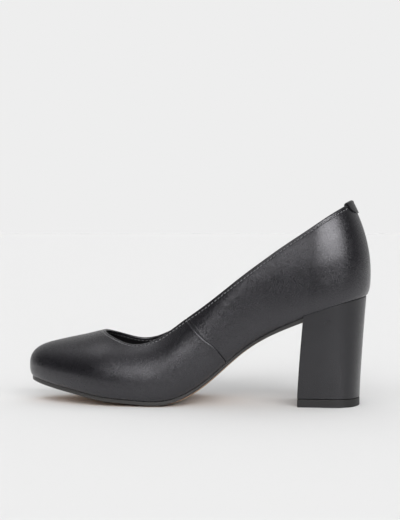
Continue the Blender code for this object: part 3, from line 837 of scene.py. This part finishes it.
# %% The lining
LINING_EDGE = 0.45  # thickness of the lining's cut edge
LINING_STEPS = (1.3, 1.6, 2.0, 2.5, 3.2, 4.2)
LINING_WALL_ROWS, LINING_TUCK_ROWS = 26, 10
LINING_PLUMP = 0.12  # how far it swells from the wall, except in the groove of its stitches
lining_base = last_grid(LINING_STEPS, LINING_WALL_ROWS, LINING_TUCK_ROWS, skip=2)
lining_normals = normals_of(lining_base)
lining_below = down_from_topline(lining_base, LINING_STEPS)
lining_groove = hump(lining_below - STITCH_DOWN, GROOVE_HALF)
lining_depth = WALL + LINING_PLUMP - LINING_PLUMP * lining_groove
lining_grid = lining_base - lining_depth[..., None] * lining_normals
cut_edge = lining_base[:, -1] - (WALL - LINING_EDGE) * lining_normals[:, -1]
lining_grid = np.concatenate([lining_grid, cut_edge[:, None]], axis=1)
lining_faces = [face[::-1] for face in grid_faces(len(lining_grid), lining_grid.shape[1], closed=True)]
lining = add_piece(
    "lining", lining_grid, lining_faces, [lining_leather], merge=False, sharp=50
)
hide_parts("upper")

# %% [markdown]
# ## The sock
#
# The sock is the leather that the foot stands on. It is glued over the insole board, slightly
# cushioned, and its edge meets the lining. We find that edge on each side from the inner face of
# the wall, and bridge from one side to the other.

# %% The sock over the insole
SOCK_RISE = 3.5  # over the underside of the upper
SOCK_CUSHION, CUSHION_FALL = 0.6, 3.0  # its height, and how far from the edge it falls away
SOCK_SKIRT = 1.2  # how far the edge turns down
SOCK_STATIONS, SOCK_ACROSS = 150, 28


def sock_inset(foot_x):
    """How far inside the widest line the inner face of the wall stands at the sock's height."""
    tuck = TUCK(foot_x)
    turns = np.linspace(0, math.pi / 2, 200)
    inset = tuck * (1 - np.cos(turns))
    height = BELLY(foot_x) * (1 - turned_down(np.cos(turns)))
    into = unit(np.stack([-np.gradient(height), np.gradient(inset)], axis=1))
    return float(np.interp(-SOCK_RISE, -(height + WALL * into[:, 1]), inset + WALL * into[:, 0]))


skirt = np.array([[0.0, 0.0, -SOCK_SKIRT]])
sock_points = []
for foot_x in LENGTH * eased_steps(SOCK_STATIONS):
    edge = sock_inset(foot_x)
    left, right = bed(MEDIAL, foot_x, edge, SOCK_RISE), bed(LATERAL, foot_x, edge, SOCK_RISE)
    across = eased_steps(SOCK_ACROSS + 1)
    row = left + (right - left) * across[:, None]
    width = np.linalg.norm(right - left)
    from_edge = np.minimum(across, 1 - across) * width
    row[:, 2] = UNDER(row[:, 0]) + SOCK_RISE + SOCK_CUSHION * (1 - hump(from_edge, CUSHION_FALL))
    sock_points.append(np.vstack([row[:1] + skirt, row, row[-1:] + skirt]))
sock_points = np.array(sock_points)
sock_faces = grid_faces(*sock_points.shape[:2])
sock = add_piece("sock", sock_points, sock_faces, [sock_leather], sharp=0)
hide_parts("insole")

# %% [markdown]
# ## The outsole
#
# The sole is a thin sheet of tan leather cut to the shape of the bottom. Its edge is trimmed
# square, its corners are broken, and it is painted black, so tan shows only from below. Each
# slice across the shoe is the same outline, and one material index splits edge from bottom.

# %% The outsole with its painted edge
GAP = 0.3  # the joint under the upper
LIP = 1.8  # how far the sole reaches out past the flat part of the upper's underside
SOLE_MIDDLE = 0.55
EDGE_BREAK = 0.5
EDGE_SHARE, LIP_SHARE = 0.5, 0.4  # how much of the joint is left over the edge, and just inside it
LIP_STEP, JOINT_DEPTH = 0.25, 1.0  # places of its last two points, from the edge and past the turn
BREAST_TOP = 191.0
SOLE_STATIONS = 220
BOTTOM_STEPS = 8


def sole_half(side, station, end_x):
    """Half a slice from its middle, across the bottom and up the edge to the joint."""
    tuck, thickness = TUCK(station), SOLE(station)
    reach = tuck - LIP

    def at(inset, rise):
        foot_x = foot_at(side, end_x, inset) if station == end_x else station
        return underside(side, foot_x, inset, rise)

    half_width = abs(outline_y(side, station))
    inner = max(SOLE_MIDDLE * half_width, tuck + EDGE_BREAK)
    rim = max(at(tuck, -GAP - thickness)[2], 0.0)
    outer_point, inner_point = at(reach + EDGE_BREAK, -GAP - thickness), at(inner, 0.0)
    sunk = UNDER(inner_point[0]) - off_level(inner_point[0], GAP + thickness) - ROUND(station)
    inner_point[2] = max(sunk, 0.0)
    outer_point[2] = rim
    points = []
    for share in np.linspace(0, 1, BOTTOM_STEPS + 1):
        point = inner_point + (outer_point - inner_point) * share
        point[2] = inner_point[2] + (rim - inner_point[2]) * share * share * (2 - share)
        points.append(point)
    corner = at(reach, 0.0)
    for turn in (0.25, 0.5, 0.75, 1.0):
        angle = turn * math.pi / 2
        point = outer_point + (corner - outer_point) * math.sin(angle)
        point[2] = rim + EDGE_BREAK * (1 - math.cos(angle))
        points.append(point)
    joint = at(reach, -GAP * EDGE_SHARE)
    for share in (0.5, 0.85, 1.0):
        point = joint.copy()
        point[2] = (rim + EDGE_BREAK) + (joint[2] - rim - EDGE_BREAK) * share
        points.append(point)
    points.append(at(reach + LIP_STEP, -GAP * LIP_SHARE))
    points.append(at(tuck + JOINT_DEPTH, -GAP * EDGE_SHARE))
    return points


sole_end = BREAST_TOP - GAP
run = np.linspace(0, 1, SOLE_STATIONS)
sole_slices = []
for station in sole_end * (0.25 * run + 0.75 * run**2):
    near, far = (sole_half(side, station, sole_end) for side in (MEDIAL, LATERAL))
    sole_slices.append(near[::-1] + far)
sole_slices = np.array(sole_slices)
sole_size = sole_slices.shape[1]
half_size = sole_size // 2
sole_faces = grid_faces(len(sole_slices), sole_size)
edge_first = half_size - 1 - BOTTOM_STEPS
is_edge = []
for face in sole_faces:
    j = face[0] % sole_size
    is_edge.append(0 if edge_first - 1 <= j <= sole_size - 1 - edge_first else 1)
sole_faces.append(tuple(range((len(sole_slices) - 1) * sole_size, len(sole_slices) * sole_size)))
is_edge.append(1)
sole_looks = [sole_leather, edge_paint]
outsole = add_piece("sole", sole_slices, sole_faces, sole_looks, is_edge, sharp=35)
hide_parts("outsole")

# %% [markdown]
# ## The covered heel and its top piece
#
# The heel is a moulded block with leather pulled round it. It starts as the outline of the
# upper's seat and narrows to a smaller D at the floor. The cover rounds off every edge, so we
# loft it finely and let a Bevel modifier soften the corners.

# %% Rings of the heel
BREAST_BASE, HEEL_INSET = 186.9, 2.8
BASE_BACK, BASE_HALF, BASE_ROUND, BASE_POWER = 227.8, 23.4, 19.0, 2.3
HEEL_SWEEP, TOP_PIECE = 1.25, 5.4
HEEL_STATIONS, HEEL_LEVELS = 72, 36
HEEL_SOFTNESS, TOP_SOFTNESS = 0.8, 0.35  # widths of the bevels


def resampled(points, count):
    """count + 1 points evenly spaced along a polyline."""
    reach = lengths_along(points)
    return read_at(np.linspace(0, reach[-1], count + 1), reach, points)


def heel_base_line(side):
    """One side of the D of the heel's base, from the breast to the back."""
    run = np.sin(np.linspace(0, math.pi / 2, 600))
    x = BREAST_BASE + (BASE_BACK - BREAST_BASE) * run
    y = side * BASE_HALF * rounded(BASE_BACK - x, BASE_ROUND, BASE_POWER)
    return resampled(np.stack([x, y], axis=1), HEEL_STATIONS)


def joined(halves):
    """One ring from two halves that both run from the breast to the back."""
    return np.array([*halves[0], *halves[1][-2::-1]])


def heel_rings():
    """Rings of the heel from the top piece up to the wall's turn, then the two halves of its seat."""
    low, outer, turned, inner = [], [], [], []
    for side in (MEDIAL, LATERAL):
        dense = LENGTH - (LENGTH - BREAST_TOP) * np.linspace(1, 0, 600) ** 2
        dense[0] = foot_at(side, BREAST_TOP, HEEL_INSET)
        line = np.stack([dense, outline_y(side, dense)], axis=1)
        feet = resampled(line, HEEL_STATIONS)[:, 0]
        rim = [underside(side, foot_x, HEEL_INSET, -GAP) for foot_x in feet]
        turn = [underside(side, foot_x, (HEEL_INSET + TUCK(foot_x)) / 2, -GAP) for foot_x in feet]
        seat = [bed(side, foot_x, TUCK(foot_x), -GAP) for foot_x in feet]
        front = foot_at(side, BREAST_TOP, TUCK(BREAST_TOP))
        seat[0] = bed(side, front, TUCK(BREAST_TOP), -GAP)
        front_of_base = np.array([BREAST_BASE, side * (BASE_HALF - TUCK(BREAST_TOP) + HEEL_INSET)])
        low.append([front_of_base, *heel_base_line(side)])
        outer.append([seat[0]] + rim)
        turned.append([seat[0]] + turn)
        inner.append(seat)
    plan, top = joined(low), joined(outer)
    rings = []
    for share in np.linspace(0, 1, HEEL_LEVELS + 1):
        x_y = plan + (top[:, :2] - plan) * share**HEEL_SWEEP
        base_z = TOP_PIECE + GAP
        rings.append(np.column_stack([x_y, base_z + (top[:, 2] - base_z) * share]))
    rings.append(joined(turned))
    return rings, inner


rings, seat = heel_rings()
print("The heel has %d rings of %d points" % (len(rings), len(rings[0])))

# %% The heel cover
ring_size = len(rings[0])
heel_points = np.vstack(rings + [np.array(seat[0]), np.array(seat[1])])
first_rim, first_seat = (len(rings) - 1) * ring_size, len(rings) * ring_size
heel_faces = ring_faces(len(rings), ring_size) + [tuple(range(ring_size))]
for j in range(HEEL_STATIONS):
    near = [first_seat + j, first_seat + j + 1]
    far = [near[0] + HEEL_STATIONS + 1, near[1] + HEEL_STATIONS + 1]
    near_rim = [first_rim + 1 + j, first_rim + 2 + j]
    far_rim = [first_seat - 2 - j, first_seat - 3 - j]
    heel_faces += [(*near, *near_rim[::-1]), (*far, *far_rim[::-1]), (*near, *far[::-1])]
heel = add_piece("heel_block", heel_points, heel_faces, [heel_cover], sharp=40)
soften(heel, HEEL_SOFTNESS)
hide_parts("heel")

# %% The top piece
top_outline = joined([heel_base_line(MEDIAL), heel_base_line(LATERAL)])
outline_size = len(top_outline)
top_points = [np.column_stack([top_outline, np.full(outline_size, z)]) for z in (0.0, TOP_PIECE)]
top_faces = ring_faces(2, outline_size)
top_faces += [tuple(range(outline_size)), tuple(range(outline_size, 2 * outline_size))]
top_points = np.vstack(top_points)
top_piece = add_piece("top_lift", top_points, top_faces, [top_rubber], sharp=40)
soften(top_piece, TOP_SOFTNESS)
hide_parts("top_piece")

# %% [markdown]
# ## The heel tab
#
# A small leather tab is folded over the topline, where the back seam ends, and hides its knot. It
# is the wall's own surface moved out by the tab's thickness, bent over the edge and down inside.

# %% The folded tab
TAB, TAB_HALF, TAB_DEPTH, TAB_INSIDE, TAB_CORNER = 0.8, 12.0, 8.5, 5.0, 1.5
TAB_COLUMNS, TAB_ROWS, TAB_FOLD_STEPS = 48, 9, 12
TAB_FOLD = 1.4  # how high the fold stands over the topline, for each millimetre of clearance
TAB_UNDER, TAB_SOFTNESS = 0.12, 0.22  # its joint with the wall, and the width of its bevel
STEP_ALONG, STEP_UP = 0.4, 0.01  # short steps that give directions, in millimetres and radians


def tab_tables():
    """The foot on the widest line against the distance round the topline from the back centre."""
    tables = {}
    for side in (MEDIAL, LATERAL):
        feet = LENGTH - TAB_HALF * np.linspace(0, 1, 200) ** 2
        places = last_point(side, feet, topline_angle(side, feet))
        tables[side] = lengths_along(places), feet
    return tables


tables = tab_tables()


def tab_foot(around):
    """(side, foot) of the wall at a distance round the topline from the back centre."""
    side = LATERAL if around > 0 else MEDIAL
    return side, np.interp(abs(around), *tables[side])


def wall_frame(around, angle):
    """Point, outward normal and upward direction of the upper's outside."""

    def surface(at, turned):
        side, foot_x = tab_foot(at)
        return last_point(side, foot_x, turned)

    across = surface(around + STEP_ALONG, angle) - surface(around - STEP_ALONG, angle)
    rising = surface(around, angle + STEP_UP) - surface(around, angle - STEP_UP)
    return surface(around, angle), unit(np.cross(across, rising)), unit(rising)


def tab_section(around):
    """One section of the tab: down the outside, over the topline, down the inside and back."""
    side, foot_x = tab_foot(around)
    top_angle = float(topline_angle(side, foot_x))
    angles = np.linspace(top_angle, top_angle - 0.5, 120)
    below = lengths_along(np.array([wall_frame(around, angle)[0] for angle in angles]))
    width = math.sqrt(max(1 - (around / TAB_HALF) ** 2, 0.0))

    def leg(depth, offset):
        points = []
        for down in np.linspace(0, 1, TAB_ROWS + 1)[1:] * depth:
            point, normal, _ = wall_frame(around, np.interp(down, below, angles))
            points.append(point + offset * normal)
        return points

    def over(clearance):
        point, normal, rising = wall_frame(around, top_angle)
        centre, reach = point - WALL / 2 * normal, WALL / 2 + clearance
        height = TAB_FOLD * clearance
        turns = np.linspace(0, math.pi, TAB_FOLD_STEPS + 1)
        return [centre + reach * math.cos(t) * normal + height * math.sin(t) * rising for t in turns]

    outside = TAB_CORNER + (TAB_DEPTH - TAB_CORNER) * width
    inside = TAB_CORNER + (TAB_INSIDE - TAB_CORNER) * width
    cover = leg(outside, TAB_UNDER + TAB)[::-1] + over(GAP + TAB) + leg(inside, -WALL - TAB_UNDER - TAB)
    hollow = leg(outside, TAB_UNDER)[::-1] + over(GAP) + leg(inside, -WALL - TAB_UNDER)
    return cover + hollow[::-1]


tab_rings = [tab_section(around) for around in np.linspace(-TAB_HALF, TAB_HALF, TAB_COLUMNS + 1)]
tab_size = len(tab_rings[0])
tab_faces = ring_faces(TAB_COLUMNS + 1, tab_size)
tab_faces += [tuple(range(tab_size)), tuple(range(TAB_COLUMNS * tab_size, (TAB_COLUMNS + 1) * tab_size))]
tab = add_piece("tab", np.array(tab_rings), tab_faces, [tab_leather], sharp=50)
soften(tab, TAB_SOFTNESS, segments=2, limit=50)
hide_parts("heel_tab")

# %% [markdown]
# ## Stitches
#
# One row of lockstitch holds the folded edge. A stitch is a short thread that dives into the
# leather at both ends, so it is a small bent capsule. There are well over a hundred, all alike,
# so we work out one and lay copies along the topline with array sums, then join them in one mesh.

# %% Rows of stitches
STITCH_PITCH, STITCH_LENGTH, THREAD_RADIUS = 2.7, 2.1, 0.23
STITCH_TURN = 7.0  # degrees that each stitch is turned off the line of the row
STITCH_LIFT = 0.02  # how far the thread stands off the leather
STITCH_ARCH, STITCH_DIVE = 0.5, 1.9  # its rise in the middle and its fall at the ends, in radii
STITCH_TIP = 0.02  # how much of the thread's section is left at its tips
STITCH_RINGS, STITCH_SIDES = 9, 7


def stitch_row(name, grid, normals, below, start_gap):
    """A row of stitches at STITCH_DOWN under the topline of a grid, clear of the tab."""
    rows = []
    for column, depths in zip(np.concatenate([grid, normals], axis=2), below):
        order = np.argsort(depths)
        rows.append(read_at(STITCH_DOWN, depths[order], column[order]))
    rows = np.array(rows)
    back = int(np.argmax(rows[:, 0]))
    rows = rows[(np.arange(len(rows) + 1) + back) % len(rows)]
    line, ups = rows[:, :3], rows[:, 3:]
    reach = lengths_along(line)
    count = int((reach[-1] - 2 * start_gap) / STITCH_PITCH)
    places = start_gap + (np.arange(count) + 0.5) * (reach[-1] - 2 * start_gap) / count
    centre, normal = read_at(places, reach, line), unit(read_at(places, reach, ups))
    ahead, behind = (read_at(places + step, reach, line) for step in (STEP_ALONG, -STEP_ALONG))
    along = unit(ahead - behind)
    across = np.cross(normal, along)
    turn = math.radians(STITCH_TURN)
    along, across = (
        math.cos(turn) * along + math.sin(turn) * across,
        math.cos(turn) * across - math.sin(turn) * along,
    )
    run = np.linspace(-1, 1, STITCH_RINGS)
    thick = THREAD_RADIUS * np.sqrt(np.clip(1 - run**4, STITCH_TIP, 1))
    arch = STITCH_LIFT + THREAD_RADIUS * STITCH_ARCH - THREAD_RADIUS * STITCH_DIVE * run**4
    turns = np.arange(STITCH_SIDES) * 2 * math.pi / STITCH_SIDES
    lengthwise = (run * STITCH_LENGTH / 2)[:, None] + 0 * turns
    sideways = thick[:, None] * np.cos(turns)
    height = arch[:, None] + thick[:, None] * np.sin(turns)
    points = centre[:, None]
    for values, axis in ((lengthwise, along), (sideways, across), (height, normal)):
        points = points + values.reshape(1, -1, 1) * axis[:, None]
    size = STITCH_RINGS * STITCH_SIDES
    ends = [tuple(range(STITCH_SIDES - 1, -1, -1)), tuple(range(size - STITCH_SIDES, size))]
    stitch = ring_faces(STITCH_RINGS, STITCH_SIDES) + ends
    faces = [tuple(k * size + corner for corner in face) for k in range(count) for face in stitch]
    add_piece(name, points, faces, [thread_painted_glint], merge=False, sharp=0)


stitch_row("topline_stitches", leather_grid, skin_normals, below_top, TAB_HALF + 1.0)
stitch_row("lining_stitches", lining_grid[:, :-1], -lining_normals, lining_below, TAB_HALF * 0.7)

# %% [markdown]
# ## Floor, light and camera
#
# The photograph has a pale sweep of floor, a broad light from above and in front, and a bright
# room behind the shoe. The front of the room is dim, which draws the dark bands along the
# leather. A sky made of nodes gives the room and its softboxes, and two broad lamps the shadow.

# %% The floor
FLOOR_REACH, FLOOR_FRONT = 30.0, 0.42  # the floor ends near the camera, where the dim room begins
FLOOR_GREY, FLOOR_ROUGHNESS = 0.714, 0.9
floor_mesh = bpy.data.meshes.new("floor")
corners = [
    (-FLOOR_REACH, -FLOOR_FRONT, 0),
    (FLOOR_REACH, -FLOOR_FRONT, 0),
    (FLOOR_REACH, FLOOR_REACH, 0),
    (-FLOOR_REACH, FLOOR_REACH, 0),
]
floor_mesh.from_pydata(corners, [], [(0, 1, 2, 3)])
floor = new_object("floor", floor_mesh)
floor_material, _, floor_shader = new_material("pale_floor", specular=0.0)
floor_shader.inputs["Base Color"].default_value = (FLOOR_GREY, FLOOR_GREY, FLOOR_GREY, 1.0)
floor_shader.inputs["Roughness"].default_value = FLOOR_ROUGHNESS
floor_mesh.materials.append(floor_material)
print("Floor %.0f m wide" % (2 * FLOOR_REACH))

# %% The room
PAGE = 0.855  # the page's pale grey, as the camera sees it
FRONT_LEVEL, BACK_LEVEL, TOP_LEVEL = 0.07, 0.5, 0.36
FRONT_END, BACK_START = -0.1, 0.7  # where along Y the level leaves the front's and reaches the back's
TOP_START, TOP_END = 0.45, 0.9  # the same upwards, along Z
world = bpy.data.worlds.new("room")
bpy.context.scene.world = world
world.use_nodes = True
room = world.node_tree
towards_sky = add(room, "ShaderNodeTexCoord").outputs["Generated"]
parts = add(room, "ShaderNodeSeparateXYZ", {0: towards_sky})


def smooth_step(value, start, end, low=0.0, high=1.0):
    """A socket's value between start and end, eased from low to high."""
    inputs = {"Value": value, "From Min": start, "From Max": end, "To Min": low, "To Max": high}
    return add(room, "ShaderNodeMapRange", inputs, interpolation_type="SMOOTHSTEP").outputs["Result"]


around = smooth_step(parts.outputs["Y"], FRONT_END, BACK_START, FRONT_LEVEL, BACK_LEVEL)
overhead = smooth_step(parts.outputs["Z"], TOP_START, TOP_END)
level = math_node(room, "MULTIPLY_ADD", overhead, math_node(room, "SUBTRACT", TOP_LEVEL, around), around)
print("Room levels: front %.2f, back %.2f, top %.2f" % (FRONT_LEVEL, BACK_LEVEL, TOP_LEVEL))

# %% Softboxes painted on the room
# Each row is azimuth, elevation, half width and half height in degrees, then strength.
SOFTBOXES = (
    (24.0, 28.0, 27.5, 16.0, 6.2),
    (-80.0, 68.0, 18.0, 9.0, 1.2),
)
FADE_START, FADE_END = 0.6, 1.25  # where a softbox starts to fade and is gone, in half sizes


def softbox(azimuth, elevation, half_width, half_height, strength):
    """A soft-edged bright rectangle of the room. Azimuth 0 is in front."""
    a, e = math.radians(azimuth), math.radians(elevation)
    middle = Vector((math.sin(a) * math.cos(e), -math.cos(a) * math.cos(e), math.sin(e)))
    sideways = Vector((math.cos(a), math.sin(a), 0.0))
    upward = sideways.cross(middle)

    def towards(axis):
        inputs = {0: towards_sky, 1: axis}
        return add(room, "ShaderNodeVectorMath", inputs, operation="DOT_PRODUCT").outputs["Value"]

    ahead = math_node(room, "MAXIMUM", towards(middle), 0.001)
    mask = strength
    for axis, half in ((sideways, half_width), (upward, half_height)):
        off = math_node(room, "DIVIDE", math_node(room, "ABSOLUTE", towards(axis)), ahead)
        edge = math.tan(math.radians(half))
        fade = smooth_step(off, edge * FADE_START, edge * FADE_END, 1.0, 0.0)
        mask = math_node(room, "MULTIPLY", fade, mask)
    return mask


for box in SOFTBOXES:
    level = math_node(room, "ADD", level, softbox(*box))
camera_ray = add(room, "ShaderNodeLightPath").outputs["Is Camera Ray"]
seen = math_node(room, "SUBTRACT", PAGE, level)
shown = math_node(room, "MULTIPLY_ADD", camera_ray, seen, level)
room.links.new(shown, room.nodes["Background"].inputs["Color"])
print(len(SOFTBOXES), "softboxes")

# %% Two broad lamps for the floor
# They fill the floor evenly from in front and behind, and leave no highlight on the leather.
# Each row is azimuth, elevation and spread in degrees, then strength.
LAMPS = (
    (-25.0, 32.0, 60.0, 1.1),
    (170.0, 50.0, 90.0, 1.1),
)
for azimuth, elevation, spread, strength in LAMPS:
    lamp_data = bpy.data.lights.new("broad_lamp", "SUN")
    lamp_data.energy = strength
    lamp_data.angle = math.radians(spread)
    lamp = new_object("broad_lamp", lamp_data)
    lamp.rotation_euler = (math.radians(90.0 - elevation), 0.0, math.radians(azimuth))
    lamp.visible_glossy = False
print(len(LAMPS), "broad lamps")

# %% The camera
CAMERA_PLACE = (0.1162, -0.8725, 0.1183)
CAMERA_YAW, CAMERA_PITCH = 7.5, 1.4  # degrees turned towards the toe, and down
CAMERA_LENS = 88.8
SENSOR = 36.0
yaw, pitch = math.radians(CAMERA_YAW), math.radians(CAMERA_PITCH)
camera_data = bpy.data.cameras.new("camera")
camera_data.lens = CAMERA_LENS
camera_data.sensor_width = SENSOR
camera = new_object("camera", camera_data)
camera.location = CAMERA_PLACE
looking = Vector((-math.sin(yaw) * math.cos(pitch), math.cos(yaw) * math.cos(pitch), -math.sin(pitch)))
camera.rotation_euler = looking.to_track_quat("-Z", "Y").to_euler()
bpy.context.scene.camera = camera
bpy.context.scene.view_settings.view_transform = "Standard"
print("Camera %.0f mm from the shoe" % (1000 * Vector(CAMERA_PLACE).length))
